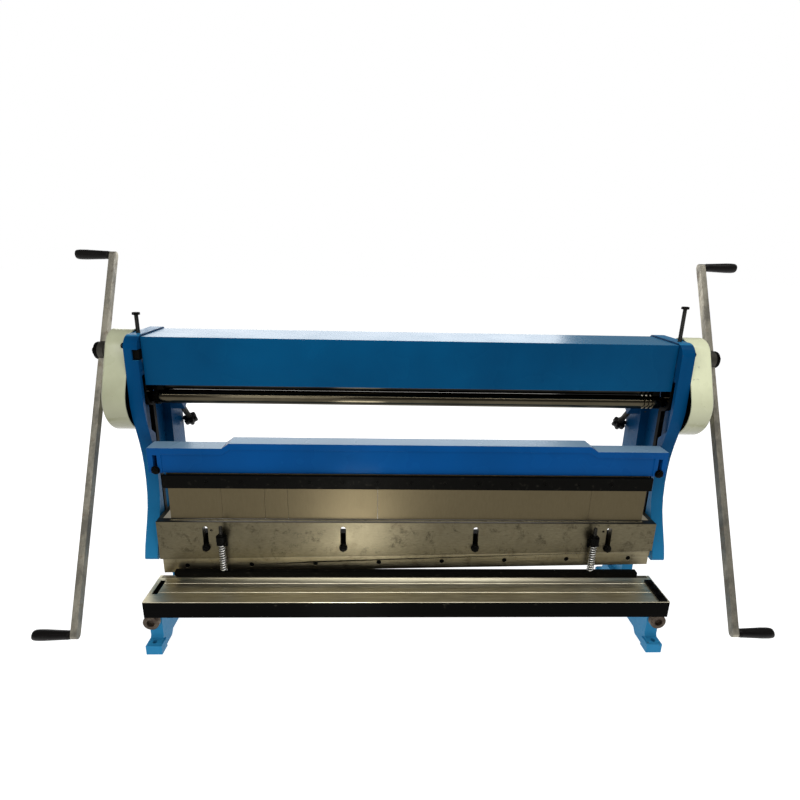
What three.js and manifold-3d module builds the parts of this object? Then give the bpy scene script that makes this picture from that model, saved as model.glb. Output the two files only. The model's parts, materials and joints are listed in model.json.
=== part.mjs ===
// Combination sheet metal machine: slip rolls on top, press brake in the middle, shear below.
// Millimetres. X runs across the machine, Y to the back, Z up. Y = 0 is the shearing plane.
import * as THREE from 'three';
import { mergeVertices } from 'three/addons/utils/BufferGeometryUtils.js';
import Module from 'manifold-3d';

const wasm = await Module();
wasm.setup();

// Driving dimensions
const workingWidth = 1320;
const frameInner = 706;
const frameOuter = 741;
const frameTop = 876;
const frameFront = 32;
const frameRear = 280;
const webInner = 730;
const gap = 0.3;

const rollRadius = 19.5;
const lowerRollAt = { y: 100, z: 701 };
const rollSpacing = 40;
const gearModule = 4;
const driveTeeth = 41;
const pinionTeeth = 20;
const crankAt = { y: 111, z: 822.5 };
const shaftRadius = 13;

const ramStroke = 42;
const ramFront = 0.3;
const ramThickness = 22;
const ramTop = 370;
const ramHalfWidth = 698;

const fingerFront = 12;
const fingerTip = 374.8;
const fingerThickness = 22;
const beamBottom = 511;
const beamFront = 10;
const beamDepth = 52;

const tableTop = 202;
const tableBottom = 154;
const tableFront = -118;
const tableHalfWidth = 702;

const armReach = 831;
const armLean = THREE.MathUtils.degToRad(25.4);
const longArm = 722;
const shortArm = 272;
const gripLength = 94;

const depthCentre = 43.913;

// Finishes
const finish = (color, roughness, metalness) =>
  new THREE.MeshStandardMaterial({ color, roughness, metalness });
const bluePaint = finish(0x0f5fa8, 0.35, 0.1);
const creamPaint = finish(0xc9caa4, 0.4, 0.05);
const groundSteel = finish(0x8f8a7c, 0.35, 0.9);
const barSteel = finish(0x77736a, 0.5, 0.8);
const darkSteel = finish(0x1c1b1a, 0.5, 0.6);
const springSteel = finish(0xc8c8c8, 0.3, 0.9);
const blackPlastic = finish(0x101010, 0.5, 0.0);

// Solids and placing
function solid(geometry) {
  const bare = geometry.clone();
  bare.deleteAttribute('normal');
  bare.deleteAttribute('uv');
  const merged = mergeVertices(bare, 1e-4);
  const vertProperties = new Float32Array(merged.attributes.position.array);
  const triVerts = new Uint32Array(merged.index.array);
  return new wasm.Manifold(new wasm.Mesh({ numProp: 3, vertProperties, triVerts }));
}

function geometryOf(body) {
  const mesh = body.getMesh();
  const geometry = new THREE.BufferGeometry();
  geometry.setAttribute('position', new THREE.BufferAttribute(mesh.vertProperties, 3));
  geometry.setIndex(new THREE.BufferAttribute(mesh.triVerts, 1));
  geometry.computeVertexNormals();
  return geometry;
}

const join = (...bodies) => bodies.reduce((whole, body) => whole.add(body));
const cut = (body, ...tools) => tools.reduce((whole, tool) => whole.subtract(tool), body);
const span = (a, b) => [Math.min(a, b), Math.abs(b - a)];

function block(x0, x1, y0, y1, z0, z1) {
  const [x, width] = span(x0, x1);
  const [y, depth] = span(y0, y1);
  const [z, height] = span(z0, z1);
  const geometry = new THREE.BoxGeometry(width, depth, height);
  geometry.translate(x + width / 2, y + depth / 2, z + height / 2);
  return solid(geometry);
}

// A side view outline (Y, Z) carried along X
function alongX(shape, x0, x1, curveSegments = 6) {
  const [x, depth] = span(x0, x1);
  const geometry = new THREE.ExtrudeGeometry(shape, { depth, bevelEnabled: false, curveSegments });
  const axes = new THREE.Matrix4().set(0, 0, 1, x, 1, 0, 0, 0, 0, 1, 0, 0, 0, 0, 0, 1);
  geometry.applyMatrix4(axes);
  return solid(geometry);
}

// A front view outline (X, Z) carried along Y
function alongY(shape, y0, y1) {
  const [y, depth] = span(y0, y1);
  const geometry = new THREE.ExtrudeGeometry(shape, { depth, bevelEnabled: false, curveSegments: 6 });
  const axes = new THREE.Matrix4().set(1, 0, 0, 0, 0, 0, -1, y + depth, 0, 1, 0, 0, 0, 0, 0, 1);
  geometry.applyMatrix4(axes);
  return solid(geometry);
}

function polygon(points) {
  return new THREE.Shape(points.map(([u, v]) => new THREE.Vector2(u, v)));
}

function rodX(y, z, radius, x0, x1, sides = 20) {
  const [x, length] = span(x0, x1);
  const geometry = new THREE.CylinderGeometry(radius, radius, length, sides);
  geometry.rotateZ(Math.PI / 2);
  geometry.translate(x + length / 2, y, z);
  return solid(geometry);
}

function rodY(x, z, radius, y0, y1, sides = 16) {
  const [y, length] = span(y0, y1);
  const geometry = new THREE.CylinderGeometry(radius, radius, length, sides);
  geometry.translate(x, y + length / 2, z);
  return solid(geometry);
}

function rodZ(x, y, radius, z0, z1, sides = 16) {
  const [z, length] = span(z0, z1);
  const geometry = new THREE.CylinderGeometry(radius, radius, length, sides);
  geometry.rotateX(Math.PI / 2);
  geometry.translate(x, y, z + length / 2);
  return solid(geometry);
}

const machine = new THREE.Group();
machine.position.y = -depthCentre;
const sides = [{ word: 'left', way: -1 }, { word: 'right', way: 1 }];

function add(name, body, material, at = [0, 0, 0], parent = machine) {
  const mesh = new THREE.Mesh(geometryOf(body), material);
  mesh.name = name;
  mesh.position.set(...at);
  parent.add(mesh);
  return mesh;
}

// Side frames: an upper casting with a front leg, a rear column and a base limb with two feet
const throat = { back: 160, ceiling: 345 };
const foot = { front: -78, rear: 300, height: 30, inner: 686, outer: 730 };
const footHoles = [foot.front + 14, foot.rear - 10];
const footHoleX = 709;
const neckFront = -50;
const frontCorner = 34;
const screwX = 684;
const screwLean = new THREE.Vector2(-0.679, 0.734);
const knobAt = { y: 279, z: 576.5 };
const topBoltY = 86;
const topBoltX = 723;
const frameFaceBolt = { x: 685, z: 520 };

function upperFrameOutline() {
  const shape = new THREE.Shape();
  shape.moveTo(12, 246);
  shape.absarc(14, 256, 10, -Math.PI / 2, -Math.PI, true);
  shape.bezierCurveTo(14, 300, 40, 340, 54, 385);
  shape.bezierCurveTo(68, 430, 68, 500, 62, 545);
  shape.bezierCurveTo(54, 600, 34, 640, 30, 690);
  shape.lineTo(frameFront, frameTop - frontCorner);
  const cornerAt = { y: frameFront + frontCorner, z: frameTop - frontCorner };
  shape.absarc(cornerAt.y, cornerAt.z, frontCorner, Math.PI, Math.PI / 2, true);
  shape.lineTo(200, frameTop);
  shape.absarc(200, frameTop - 15, 15, Math.PI / 2, 0, true);
  shape.lineTo(215, 780);
  shape.bezierCurveTo(215, 740, frameRear, 730, frameRear, 660);
  shape.lineTo(frameRear, 60);
  shape.lineTo(throat.back, 60);
  shape.lineTo(throat.back, throat.ceiling - 22);
  shape.absarc(throat.back - 22, throat.ceiling - 22, 22, 0, Math.PI / 2, false);
  shape.lineTo(92, throat.ceiling);
  shape.bezierCurveTo(70, throat.ceiling, 68, 320, 62, 290);
  shape.lineTo(54, 256);
  shape.absarc(44, 256, 10, 0, -Math.PI / 2, true);
  return shape;
}

function baseOutline() {
  const shape = new THREE.Shape();
  shape.moveTo(foot.front, 0);
  shape.lineTo(foot.front, foot.height - 6);
  shape.lineTo(foot.front + 6, foot.height);
  shape.lineTo(neckFront - 4, foot.height + 4);
  shape.lineTo(neckFront, foot.height + 12);
  shape.lineTo(neckFront, tableBottom - gap);
  shape.lineTo(6, tableBottom - gap);
  shape.bezierCurveTo(30, 120, 80, 100, throat.back, 84);
  shape.lineTo(250, 84);
  shape.lineTo(270, foot.height + 6);
  shape.lineTo(foot.rear, foot.height);
  shape.lineTo(foot.rear, 0);
  shape.lineTo(225, 0);
  shape.lineTo(212, 14);
  shape.lineTo(12, 14);
  shape.lineTo(0, 0);
  return shape;
}

// The connecting rod and its strap run in this pocket of the inner wall
function rodPocketOutline() {
  return polygon([[42, 772], [42, 632], [80, 600], [80, 335], [195, 335], [195, 772]]);
}

function screwRod(way, radius, from, to, sides = 12) {
  const geometry = new THREE.CylinderGeometry(radius, radius, to - from, sides);
  geometry.translate(0, (from + to) / 2, 0);
  geometry.rotateX(Math.atan2(screwLean.y, screwLean.x));
  geometry.translate(way * screwX, knobAt.y, knobAt.z);
  return solid(geometry);
}

function alongScrew(way, x0, x1, half, from, to) {
  const [x, width] = span(x0, x1);
  const geometry = new THREE.BoxGeometry(width, to - from, 2 * half);
  geometry.translate(0, (from + to) / 2, 0);
  geometry.rotateX(Math.atan2(screwLean.y, screwLean.x));
  geometry.translate(x + width / 2, knobAt.y, knobAt.z);
  return solid(geometry);
}

function sideFrame(way) {
  const upper = alongX(upperFrameOutline(), way * frameInner, way * frameOuter, 4);
  const base = alongX(baseOutline(), way * 690, way * 725, 3);
  const feet = [[foot.front, neckFront + 6], [262, foot.rear]].map(([y0, y1]) =>
    block(way * foot.inner, way * foot.outer, y0, y1, 0, foot.height - 2));
  const beamLug = block(way * 668, way * 712, 62.5, 84, 498, 574);
  const beamStud = rodY(way * frameFaceBolt.x, frameFaceBolt.z, 4.5, 5, 70, 10);
  const beamBoltHead = rodY(way * frameFaceBolt.x, frameFaceBolt.z, 8.5, 3, beamFront - gap, 12);
  const nutLug = alongScrew(way, way * 670, way * 712, 14, 86, 116);
  const body = join(upper, base, ...feet, beamLug, beamStud, beamBoltHead, nutLug);
  const holes = [
    alongX(rodPocketOutline(), way * (frameInner - 1), way * webInner),
    rodX(crankAt.y, crankAt.z, shaftRadius + 0.5, way * 660, way * 760),
    rodX(lowerRollAt.y, lowerRollAt.z, shaftRadius + 0.5, way * 720, way * 760),
    block(way * (frameInner - 1), way * 739, 69, 101, 775, 804.5),
    rodZ(way * topBoltX, topBoltY, 5.5, 790, 900, 16),
    screwRod(way, 8.5, 70, 130, 16),
    ...footHoles.map((y) => rodZ(way * footHoleX, y, 6, -1, foot.height + 8, 24)),
  ];
  if (way < 0) holes.push(block(-721, -704, frameFront - 6, 76, 813, 841));
  return cut(body, ...holes);
}

for (const { word, way } of sides) add(`${word}_side_frame`, sideFrame(way), bluePaint);

// Top cover: an inverted trough tying the two frames together over the rolls
const cover = { front: 50, rear: 200, top: 872, bottom: 744, wall: 8 };

function topCover() {
  const { front, rear, top, bottom, wall } = cover;
  const outline = polygon([
    [front, bottom], [front, top], [rear, top], [rear, bottom + 60], [rear - wall, bottom + 60],
    [rear - wall, top - wall], [front + wall, top - wall], [front + wall, bottom],
  ]);
  return alongX(outline, -frameInner + 2, frameInner - 2);
}

add('top_cover', topCover(), bluePaint);

// Work table and lower blade
const tableSlot = { x0: 677, x1: 691, back: -24, depth: 12 };
const gaugeCap = { over: 3, front: -117, rear: -28, thick: 6 };
const bladeSeat = { depth: 12, height: 40, half: 694 };

function workTable() {
  const slab = block(-tableHalfWidth, tableHalfWidth, tableFront, 0, tableBottom, tableTop);
  const { depth, height, half } = bladeSeat;
  const seat = block(-half, half, -depth - gap, 1, tableTop - height - gap, tableTop + 1);
  const slots = sides.map(({ way }) =>
    block(way * tableSlot.x0, way * tableSlot.x1, way < 0 ? -84 : -112, tableSlot.back,
      tableTop - tableSlot.depth, tableTop + 1));
  const lines = [-38, -77].map((y) =>
    block(-tableHalfWidth - 1, tableHalfWidth + 1, y - 0.8, y + 0.8, tableTop - 1, tableTop + 1));
  return cut(slab, seat, ...slots, ...lines);
}

add('work_table', workTable(), groundSteel);
add('lower_shear_blade',
  block(0.5 - bladeSeat.half, bladeSeat.half - 0.5, -bladeSeat.depth, 0,
    tableTop - bladeSeat.height, tableTop), groundSteel);

function tableGauge() {
  const { x0, x1, back, depth } = tableSlot;
  const { over, front, rear, thick } = gaugeCap;
  const bar = block(x0 + gap, x1 - gap, -111, back - 2, tableTop - depth + gap, tableTop + 1);
  const cap = block(x0 - over, x1 + over, front, rear, tableTop + gap, tableTop + thick);
  const heads = [-98, -72, -46].map((y) =>
    rodZ((x0 + x1) / 2, y, 7, tableTop + thick - 1, tableTop + thick + 5, 10));
  return join(bar, cap, ...heads);
}

add('table_gauge', tableGauge(), darkSteel);

for (const { word, way } of sides) {
  const head = rodY(0, 0, 22, -22, -6, 24);
  const washer = rodY(0, 0, 17, -6, -gap, 16);
  add(`${word}_table_bolt`, join(head, washer), barSteel, [way * 711, neckFront, 98]);
}

// Rear tie bar between the columns
add('rear_tie_bar', rodX(230, 130, 16, -frameInner + gap, frameInner - gap), darkSteel);

// Upper die beam with clamp bar and fingers
const beamEnd = 704;
const beamLowTop = 582.5;
const beamHighTop = 597;
const beamLipTop = 18;
const riseStart = 507;
const riseEnd = 487;

function beamFrontOutline(bottom) {
  return polygon([
    [-beamEnd, bottom], [beamEnd, bottom], [beamEnd, beamLowTop], [riseStart, beamLowTop],
    [riseEnd, beamHighTop], [-riseEnd, beamHighTop], [-riseStart, beamLowTop], [-beamEnd, beamLowTop],
  ]);
}

function topLipOutline() {
  const low = beamLowTop - beamLipTop;
  const high = beamHighTop - beamLipTop;
  return polygon([
    [-beamEnd, low], [-riseStart, low], [-riseEnd, high], [riseEnd, high], [riseStart, low],
    [beamEnd, low], [beamEnd, beamLowTop], [riseStart, beamLowTop], [riseEnd, beamHighTop],
    [-riseEnd, beamHighTop], [-riseStart, beamLowTop], [-beamEnd, beamLowTop],
  ]);
}

function upperDieBeam() {
  const web = alongY(beamFrontOutline(beamBottom), beamFront + 3, beamFront + beamDepth);
  const lip = alongY(topLipOutline(), beamFront, beamFront + 8);
  const endPads = sides.map(({ way }) =>
    block(way * 668, way * beamEnd, beamFront, beamFront + 8, beamBottom, beamLowTop));
  const rearLip = block(-664, 664, fingerFront + fingerThickness + gap, beamFront + beamDepth, 466, 520);
  const slots = sides.map(({ way }) => {
    const { x, z } = frameFaceBolt;
    return block(way * (x - 5.5), way * (x + 5.5), 0, 70, z - 5.5, z + 42);
  });
  return cut(join(web, lip, rearLip, ...endPads), ...slots);
}

add('upper_die_beam', upperDieBeam(), bluePaint);

const clampBar = { front: 1, top: 508, bottom: 471 };
add('die_clamp_bar',
  block(-668, 668, clampBar.front, fingerFront - gap, clampBar.bottom, clampBar.top)
    .subtract(block(-670, 670, beamFront - gap, fingerFront, clampBar.top - 1, clampBar.top + 2)),
  darkSteel);

// Each finger hangs from the beam and ends in a nose on the V of the ram
function finger(width) {
  const back = fingerFront + fingerThickness;
  const outline = polygon([
    [fingerFront, fingerTip], [fingerFront + 2, fingerTip], [back, fingerTip + 26],
    [back, beamBottom - gap], [fingerFront, beamBottom - gap],
  ]);
  return alongX(outline, gap / 2, width - gap / 2);
}

const fingerWidths = [142, 117, 63, 247, 596, 155];
fingerWidths.reduce((left, width, index) => {
  add(`finger_${index + 1}`, finger(width), groundSteel, [left, 0, 0]);
  return left + width;
}, -workingWidth / 2);

// Ram: a thick plate with a V along its top, guide slots, end arms and a raked blade in front
const guideX = [-566, -186, 186, 566];
const guideZ = 292;
const guideSlot = { width: 15, low: 283, high: 357 };
const rake = 0.0217;
const bladeHeight = 43;
const bladeMiddle = 246.5;
const bladeHalf = 690;
const bladeDepth = 9;
const rodEye = { y: 100, z: 345 };
const strapCentre = lowerRollAt.z + ramStroke / 2;

function rakedBand(half, low, high) {
  return polygon([
    [-half, bladeMiddle - rake * half + low], [half, bladeMiddle + rake * half + low],
    [half, bladeMiddle + rake * half + high], [-half, bladeMiddle - rake * half + high],
  ]);
}

function ramPlate() {
  const back = ramFront + ramThickness;
  const plate = alongY(polygon([
    [-ramHalfWidth, 252], [-bladeHalf - 2, 252], [-bladeHalf - 2, 218], [bladeHalf + 2, 246],
    [bladeHalf + 2, 262], [ramHalfWidth, 262], [ramHalfWidth, ramTop], [-ramHalfWidth, ramTop],
  ]), ramFront, back);
  const vee = alongX(polygon([[8, ramTop + 1], [18.5, ramTop + 1], [13.2, ramTop - 6]]), -664, 664);
  const seatBand = rakedBand(bladeHalf + 10, -60, bladeHeight / 2 + gap);
  const seat = alongY(seatBand, -1, ramFront + bladeDepth);
  const slots = guideX.map((x) => {
    const half = guideSlot.width / 2;
    const middle = block(x - half, x + half, -1, 40, guideSlot.low + half, guideSlot.high - half);
    const ends = [guideSlot.low + half, guideSlot.high - half].map((z) => rodY(x, z, half, -1, 40, 12));
    return join(middle, ...ends);
  });
  const holes = [-549, 549].map((x) => rodY(x, 345, 3.5, -1, 40, 8));
  const arms = sides.map(({ way }) => join(
    block(way * 690, way * 703, back - 2, rodEye.y + 14, rodEye.z - 22, rodEye.z + 20),
    rodX(rodEye.y, rodEye.z, 8, way * 700, way * 722, 14)));
  return join(cut(plate, vee, seat, ...slots, ...holes), ...arms);
}

add('ram_plate', ramPlate(), groundSteel);

function upperShearBlade() {
  const outline = rakedBand(bladeHalf, -bladeHeight / 2, bladeHeight / 2);
  const band = alongY(outline, ramFront, ramFront + bladeDepth - gap);
  const pitch = 179.5;
  const holes = [-3.5, -2.5, -1.5, -0.5, 0.5, 1.5, 2.5, 3.5].map((step) =>
    rodY(step * pitch + 4, bladeMiddle + rake * step * pitch, 7, -1, ramFront + 5, 8));
  return cut(band, ...holes);
}

add('upper_shear_blade', upperShearBlade(), groundSteel);

function connectingRod(way) {
  const [x0, x1] = [way * 709, way * 721.5];
  const strap = rodX(lowerRollAt.y, strapCentre, 46, x0, x1, 24);
  const shank = block(x0, x1, rodEye.y - 7, rodEye.y + 7, rodEye.z, strapCentre - 38);
  const eye = rodX(rodEye.y, rodEye.z, 17, x0, x1, 14);
  const bores = [
    rodX(lowerRollAt.y, strapCentre, 36, way * 700, way * 730, 24),
    rodX(rodEye.y, rodEye.z, 8.4, way * 700, way * 730, 14),
  ];
  return cut(join(strap, shank, eye), ...bores);
}

for (const { word, way } of sides) add(`${word}_connecting_rod`, connectingRod(way), darkSteel);

// Guide bar behind the ram, with four shouldered studs through the guide slots
function guideBar() {
  const bar = block(-680, 680, 34, 58, 262, 318);
  const tabs = block(-frameInner + gap, frameInner - gap, 34, 58, 262, 277);
  const studs = guideX.map((x) => join(
    rodY(x, guideZ, 6, -1, 40, 8),
    rodY(x, guideZ, 9, -8, -gap, 12)));
  return join(bar, tabs, ...studs);
}

add('guide_bar', guideBar(), darkSteel);

// Spring-loaded hold-down bar in front of the ram
const holdDown = { y: -18, front: -26, back: -8, bottom: 213, top: 229, halfWidth: 652, x: 517 };
const lugSpan = { bottom: 314, top: 321 };

function holdDownBar() {
  const { halfWidth, bottom, top } = holdDown;
  const outline = polygon([
    [-halfWidth + 8, bottom], [halfWidth, bottom], [halfWidth, top], [-halfWidth, top],
    [-halfWidth, bottom + 8],
  ]);
  const bores = sides.map(({ way }) =>
    rodZ(way * holdDown.x, holdDown.y, 5 + gap, bottom + 3.5, top + 1, 12));
  return cut(alongY(outline, holdDown.front, holdDown.back), ...bores);
}

add('hold_down_bar', holdDownBar(), darkSteel);

function springLug(way) {
  const { x, y } = holdDown;
  const arm = block(way * x - 11, way * x + 11, y - 11, -gap - 5, lugSpan.bottom, lugSpan.top);
  const foot = block(way * x - 11, way * x + 11, -gap - 6, -gap + 0.3, lugSpan.bottom - 16, lugSpan.top);
  return cut(join(arm, foot), rodZ(way * x, y, 5.6, 300, 330, 12));
}

function spring() {
  const turns = 6;
  const stepsPerTurn = 8;
  const wireRadius = 1.5;
  const coilRadius = 8.2;
  const length = lugSpan.bottom - holdDown.top - 2 * gap - 2 * wireRadius;
  const points = [];
  for (let step = 0; step <= turns * stepsPerTurn; step += 1) {
    const angle = (step / stepsPerTurn) * 2 * Math.PI;
    const z = (step / (turns * stepsPerTurn)) * length;
    points.push(new THREE.Vector3(coilRadius * Math.cos(angle), coilRadius * Math.sin(angle), z));
  }
  const section = new THREE.Shape();
  section.absarc(0, 0, wireRadius, 0, 2 * Math.PI);
  const path = new THREE.CatmullRomCurve3(points);
  const wire = new THREE.ExtrudeGeometry(section,
    { steps: points.length - 1, curveSegments: 3, extrudePath: path, bevelEnabled: false });
  return solid(wire);
}

for (const { word, way } of sides) {
  const { x, y, top } = holdDown;
  add(`${word}_spring_lug`, springLug(way), darkSteel);
  add(`${word}_hold_down_rod`, rodZ(0, 0, 5, -12, 138, 12), barSteel, [way * x, y, top]);
  const nut = cut(rodZ(0, 0, 14, 0, 22, 20), rodZ(0, 0, 5 + gap, -1, 23, 12));
  add(`${word}_rod_nut`, nut, darkSteel, [way * x, y, lugSpan.top + gap]);
  add(`${word}_spring`, spring(), springSteel, [way * x, y, top + gap + 1.5]);
}

// Rolls, with a pair of gears at the left and an eccentric for each connecting rod
function gearOutline(teeth, moduleSize, boreRadius, turn) {
  const pressure = THREE.MathUtils.degToRad(20);
  const pitchRadius = (teeth * moduleSize) / 2;
  const baseRadius = pitchRadius * Math.cos(pressure);
  const rootRadius = pitchRadius - 1.2 * moduleSize;
  const backlash = 0.12 * moduleSize;
  const involute = (angle) => Math.tan(angle) - angle;
  const halfAngle = (radius) => Math.PI / (2 * teeth) + involute(pressure)
    - involute(Math.acos(Math.min(1, baseRadius / radius))) - backlash / pitchRadius / 2;
  const tipRadius = pitchRadius + 0.92 * moduleSize;
  const flank = [
    [rootRadius, halfAngle(Math.max(baseRadius, rootRadius))],
    [pitchRadius, halfAngle(pitchRadius)],
    [tipRadius, halfAngle(tipRadius)],
  ];
  const points = [];
  for (let tooth = 0; tooth < teeth; tooth += 1) {
    const middle = turn + (tooth / teeth) * 2 * Math.PI;
    const rising = flank.map(([radius, half]) => [radius, middle - half]);
    const falling = flank.toReversed().map(([radius, half]) => [radius, middle + half]);
    for (const [radius, angle] of [...rising, ...falling]) {
      points.push(new THREE.Vector2(radius * Math.cos(angle), radius * Math.sin(angle)));
    }
  }
  const shape = new THREE.Shape(points);
  const bore = new THREE.Path();
  bore.absarc(0, 0, boreRadius, 0, 2 * Math.PI, true);
  shape.holes.push(bore);
  return shape;
}

const centreLine = Math.atan2(crankAt.z - lowerRollAt.z, crankAt.y - lowerRollAt.y);
const gearBand = { inner: 760, outer: 782 };

function lowerRoll() {
  const { y, z } = lowerRollAt;
  const barrel = rodX(y, z, rollRadius, -688, 700, 24);
  const shaft = rodX(y, z, shaftRadius, -790, 790, 20);
  const eccentrics = sides.map(({ way }) => rodX(y, strapCentre, 35, way * 722.5, way * 729, 24));
  return join(barrel, shaft, ...eccentrics);
}

function ringGear(teeth, moduleSize, boreRadius, turn, x0, x1) {
  return alongX(gearOutline(teeth, moduleSize, boreRadius, turn), x0, x1, 8);
}

add('lower_roll', lowerRoll(), groundSteel);
const upperRollZ = lowerRollAt.z + rollSpacing;

function upperRoll() {
  const barrel = rodX(0, 0, rollRadius, -668, 668, 24);
  const journal = rodX(0, 0, 12, -703, 687.5, 18);
  return join(barrel, journal);
}

add('upper_roll', upperRoll(), groundSteel, [0, lowerRollAt.y, upperRollZ]);

const rollGearTeeth = 16;
const rollGearModule = 2.5;
const rollGearBand = [-702, -690];
add('lower_roll_gear',
  ringGear(rollGearTeeth, rollGearModule, shaftRadius + gap, Math.PI / 2, ...rollGearBand),
  darkSteel, [0, lowerRollAt.y, lowerRollAt.z]);
const rollGearMesh = Math.PI / rollGearTeeth - Math.PI / 2;
add('upper_roll_gear',
  ringGear(rollGearTeeth, rollGearModule, 12 + gap, rollGearMesh, ...rollGearBand),
  darkSteel, [0, lowerRollAt.y, upperRollZ]);

for (const { word, way } of sides) {
  const band = [way * gearBand.inner, way * gearBand.outer];
  add(`${word}_drive_gear`, ringGear(driveTeeth, gearModule, shaftRadius + gap, centreLine, ...band),
    darkSteel, [0, lowerRollAt.y, lowerRollAt.z]);
  const gapTurn = centreLine + Math.PI + Math.PI / pinionTeeth;
  add(`${word}_pinion`, ringGear(pinionTeeth, gearModule, shaftRadius + gap, gapTurn, ...band),
    darkSteel, [0, crankAt.y, crankAt.z]);
}

// Upper bearing blocks: a plate inside the frame with an arm that the top bolt presses on
function upperBlock(way) {
  const plate = block(way * 670, way * 688, 78, 122, 724, 772);
  const riser = block(way * 670, way * 688, 70, 100, 770, 799);
  const arm = block(way * 680, way * 738, 70, 100, 778, 799);
  const bore = rodX(lowerRollAt.y, upperRollZ, 12 + gap, way * 660, way * 700, 18);
  return cut(join(plate, riser, arm), bore);
}

const topBoltHead = { left: 923, right: 963 };

for (const { word, way } of sides) {
  add(`${word}_upper_block`, upperBlock(way), darkSteel);
  const tip = 799 + gap;
  const head = topBoltHead[word] - tip;
  const stem = rodZ(0, 0, 5, 0, head + 1, 12);
  const cap = rodZ(0, 0, 10, head, head + 7, 6);
  add(`${word}_top_bolt`, join(stem, cap), darkSteel, [way * topBoltX, topBoltY, tip]);
}

// Rear roll carried by two blocks that inclined screws with star knobs push up and forward
const rearTravel = 170;
const rearRollAt = {
  y: knobAt.y + screwLean.x * rearTravel,
  z: knobAt.z + screwLean.y * rearTravel,
};
const rearRoll = join(rodX(0, 0, rollRadius, -666, 666, 24), rodX(0, 0, 11, -696, 696, 16));
add('rear_roll', rearRoll, groundSteel, [0, rearRollAt.y, rearRollAt.z]);

function starKnob(way) {
  const stem = screwRod(way, 8, 0, rearTravel - 17 - gap, 14);
  const hub = screwRod(way, 15, -12, 12, 16);
  const lobes = [];
  for (let lobe = 0; lobe < 6; lobe += 1) {
    const angle = (lobe / 6) * 2 * Math.PI;
    const geometry = new THREE.CylinderGeometry(6.5, 6.5, 20, 6);
    geometry.translate(15 * Math.cos(angle), 0, 15 * Math.sin(angle));
    geometry.rotateX(Math.atan2(screwLean.y, screwLean.x));
    geometry.translate(way * screwX, knobAt.y, knobAt.z);
    lobes.push(solid(geometry));
  }
  return join(stem, hub, ...lobes);
}

for (const { word, way } of sides) {
  const outer = alongScrew(way, way * 671, way * 697, 17, rearTravel - 17, rearTravel + 17);
  const bore = rodX(rearRollAt.y, rearRollAt.z, 11 + gap, way * 660, way * 710, 16);
  add(`${word}_rear_block`, cut(outer, bore), darkSteel);
  add(`${word}_star_knob`, starKnob(way), blackPlastic);
}

// Gear covers: two arcs round the gears joined by straight flanks, open towards the frame
const coverLow = { y: lowerRollAt.y, z: lowerRollAt.z, radius: 92 };
const coverHigh = { y: 112, z: 829, radius: 54 };
const coverOuter = 803;
const coverWall = 2.5;
const coverRound = 7;

function beltOutline(inset) {
  const dy = coverHigh.y - coverLow.y;
  const dz = coverHigh.z - coverLow.z;
  const along = Math.atan2(dz, dy);
  const side = Math.acos((coverLow.radius - coverHigh.radius) / Math.hypot(dy, dz));
  const shape = new THREE.Shape();
  const lowEnd = along - side + 2 * Math.PI;
  shape.absarc(coverLow.y, coverLow.z, coverLow.radius - inset, along + side, lowEnd, false);
  shape.absarc(coverHigh.y, coverHigh.z, coverHigh.radius - inset, along - side, along + side, false);
  return shape;
}

function roundedBelt(way, inset, back, front, round) {
  const depth = front - back - round;
  const geometry = new THREE.ExtrudeGeometry(beltOutline(inset + round), {
    depth, bevelEnabled: true, bevelSize: round, bevelThickness: round, bevelSegments: 2, curveSegments: 8,
  });
  geometry.translate(0, 0, back);
  const axes = new THREE.Matrix4().set(0, 0, 1, 0, 1, 0, 0, 0, 0, 1, 0, 0, 0, 0, 0, 1);
  geometry.applyMatrix4(axes);
  const belt = solid(geometry);
  return way > 0 ? belt : belt.mirror([1, 0, 0]);
}

function gearCover(way) {
  const shell = roundedBelt(way, 0, frameOuter, coverOuter, coverRound);
  const room = roundedBelt(way, coverWall, frameOuter - 30, coverOuter - coverWall, coverRound - 2);
  const open = block(way * (frameOuter - 60), way * (frameOuter + gap), -60, 300, 560, 920);
  const shaftHole = rodX(crankAt.y, crankAt.z, shaftRadius + 2, way * 780, way * 830);
  const lug = rodX(46, 850, 9, way * (frameOuter + gap), way * (frameOuter + 6), 12);
  return cut(join(cut(shell, room), lug.intersect(shell)), open, shaftHole);
}

for (const { word, way } of sides) add(`${word}_gear_cover`, gearCover(way), creamPaint);

// Crankshaft, double-ended arms, hub nuts and turning grips
const armThickness = 16;
const armWidth = 20;
const gripPinRadius = 5;

const crankshaftHalf = 848;
add('crankshaft', rodX(crankAt.y, crankAt.z, shaftRadius, -crankshaftHalf, crankshaftHalf, 20), barSteel);

function crankArm(way) {
  const half = armThickness / 2;
  const long = longArm + 10;
  const short = shortArm + 10;
  const outline = new THREE.Shape();
  outline.absarc(0, short - armWidth / 2, armWidth / 2, 0, Math.PI, false);
  outline.absarc(0, armWidth / 2 - long, armWidth / 2, Math.PI, 2 * Math.PI, false);
  const bar = alongX(outline, -half, half, 4);
  const hub = rodX(0, 0, 24, -half, half, 20);
  const sleeve = rodX(0, 0, 21, way * -half, way * (-half - 9), 20);
  const pins = [short - armWidth / 2, armWidth / 2 - long].map((v) =>
    rodX(0, v, gripPinRadius, 0, way * (half + gripLength + 1), 8));
  const bore = rodX(0, 0, shaftRadius + gap, -60, 60, 20);
  return cut(join(bar, hub, sleeve, ...pins), bore);
}

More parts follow.
